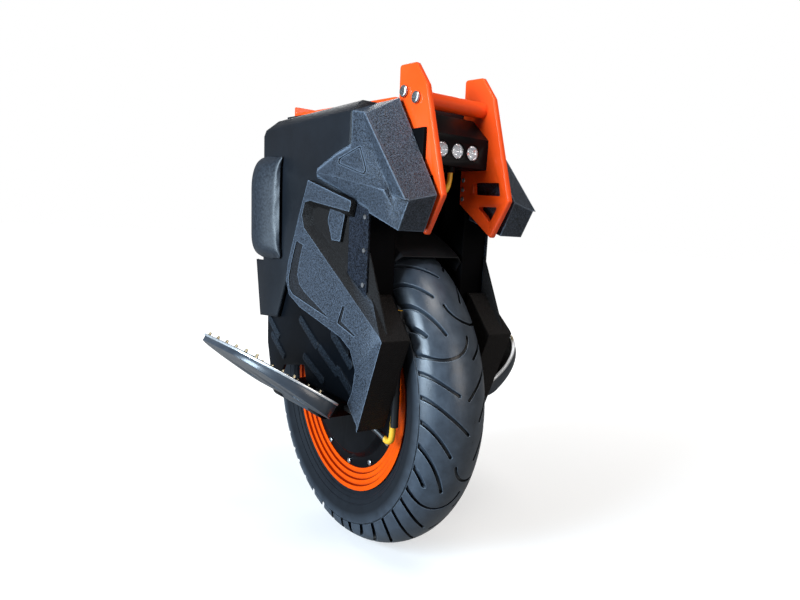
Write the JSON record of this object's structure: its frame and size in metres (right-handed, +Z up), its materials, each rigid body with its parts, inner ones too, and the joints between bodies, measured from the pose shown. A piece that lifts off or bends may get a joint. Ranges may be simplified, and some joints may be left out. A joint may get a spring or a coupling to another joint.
{
  "type": "electric unicycle",
  "caption": "Electric unicycle with a sprung body over a fat hub-motor tyre, folding spiked pedals, moulded leg pads, a front crash cage and a triple-lamp headlight.",
  "frame": {"origin": "on the ground under the middle of the axle", "axes": "+X to the rider's left along the axle, -Y to the front, +Z up"},
  "size_m": [0.4954, 0.503, 0.7058],
  "materials": {
    "tyre": "matte",
    "orange_paint": "painted satin",
    "black_metal": "anodised satin",
    "steel": "brushed",
    "chrome": "polished",
    "aluminium": "brushed",
    "iron": "matte",
    "black_plastic": "textured",
    "foam": "satin",
    "battery_wrap": "satin",
    "reflector": "polished",
    "clear_lens": "clear",
    "tail_lens": "gloss",
    "lead_sleeve": "satin"
  },
  "bodies": {
    "chassis": {"leg_left": "black_metal", "leg_right": "black_metal", "leg_cover_left": "black_plastic", "leg_cover_right": "black_plastic", "leg_screws": "steel", "top_frame": "black_metal", "rear_plates": "black_metal", "battery_left": "battery_wrap", "battery_right": "battery_wrap", "controller": "aluminium", "side_shell_left": "black_plastic", "side_shell_right": "black_plastic", "calf_pad_left": "foam", "calf_pad_right": "foam", "lower_pad_left": "black_plastic", "lower_pad_right": "black_plastic", "upper_pad_left": "black_plastic", "upper_pad_right": "black_plastic", "cage_plate_left": "orange_paint", "cage_plate_right": "orange_paint", "cage_arms": "black_metal", "crossbar": "orange_paint", "cage_bolts": "steel", "headlight_housing": "black_metal", "headlight_reflectors": "reflector", "headlight_lenses": "clear_lens", "headlight_lead": "lead_sleeve", "top_cover": "black_plastic", "top_plate": "orange_paint", "rear_cover": "black_plastic", "charge_port": "black_plastic", "tail_light": "tail_lens", "fork_tubes": "black_metal"},
    "carriage": {"axle": "steel", "axle_nuts": "steel", "stator": "iron", "mudguard": "black_plastic", "hanger_left": "black_metal", "hanger_right": "black_metal", "hinge_pins": "steel", "stanchions": "chrome", "motor_lead": "lead_sleeve", "lead_conduit": "black_plastic", "side_skirt_left": "black_plastic", "side_skirt_right": "black_plastic"},
    "wheel": {"tyre": "tyre", "rim": "orange_paint", "motor_cover_left": "black_metal", "motor_cover_right": "black_metal", "cover_screws": "steel", "bearings": "steel", "magnet_ring": "iron"},
    "pedal_left": {"pedal_base_left": "black_metal", "pedal_deck_left": "aluminium", "pedal_spikes_left": "steel"},
    "pedal_right": {"pedal_base_right": "black_metal", "pedal_deck_right": "aluminium", "pedal_spikes_right": "steel"},
    "button": {"power_button": "foam"},
    "cap": {"charge_cap": "foam"}
  },
  "joints": [
    {"name": "suspension", "type": "slide", "parent": "chassis", "child": "carriage", "axis": [0, 0, 1], "range_m": [0, 0.06], "stiffness_N_per_m": 10000, "springref_m": -0.045},
    {"name": "wheel_spin", "type": "hinge", "parent": "carriage", "child": "wheel", "pos_m": [0, 0, 0.2515], "axis": [1, 0, 0], "continuous": true},
    {"name": "pedal_left_fold", "type": "hinge", "parent": "carriage", "child": "pedal_left", "pos_m": [0.118, 0, 0.243], "axis": [0, -1, 0], "range_deg": [-32, 30]},
    {"name": "pedal_right_fold", "type": "hinge", "parent": "carriage", "child": "pedal_right", "pos_m": [-0.118, 0, 0.243], "axis": [0, 1, 0], "range_deg": [-32, 30]},
    {"name": "power_press", "type": "slide", "parent": "chassis", "child": "button", "axis": [0, -1, 0], "range_m": [0, 0.002], "stiffness_N_per_m": 600, "springref_m": -0.002},
    {"name": "charge_cap_lift", "type": "hinge", "parent": "chassis", "child": "cap", "pos_m": [0.031, 0.1877, 0.6085], "axis": [1, 0, 0], "range_deg": [0, 110]}
  ]
}
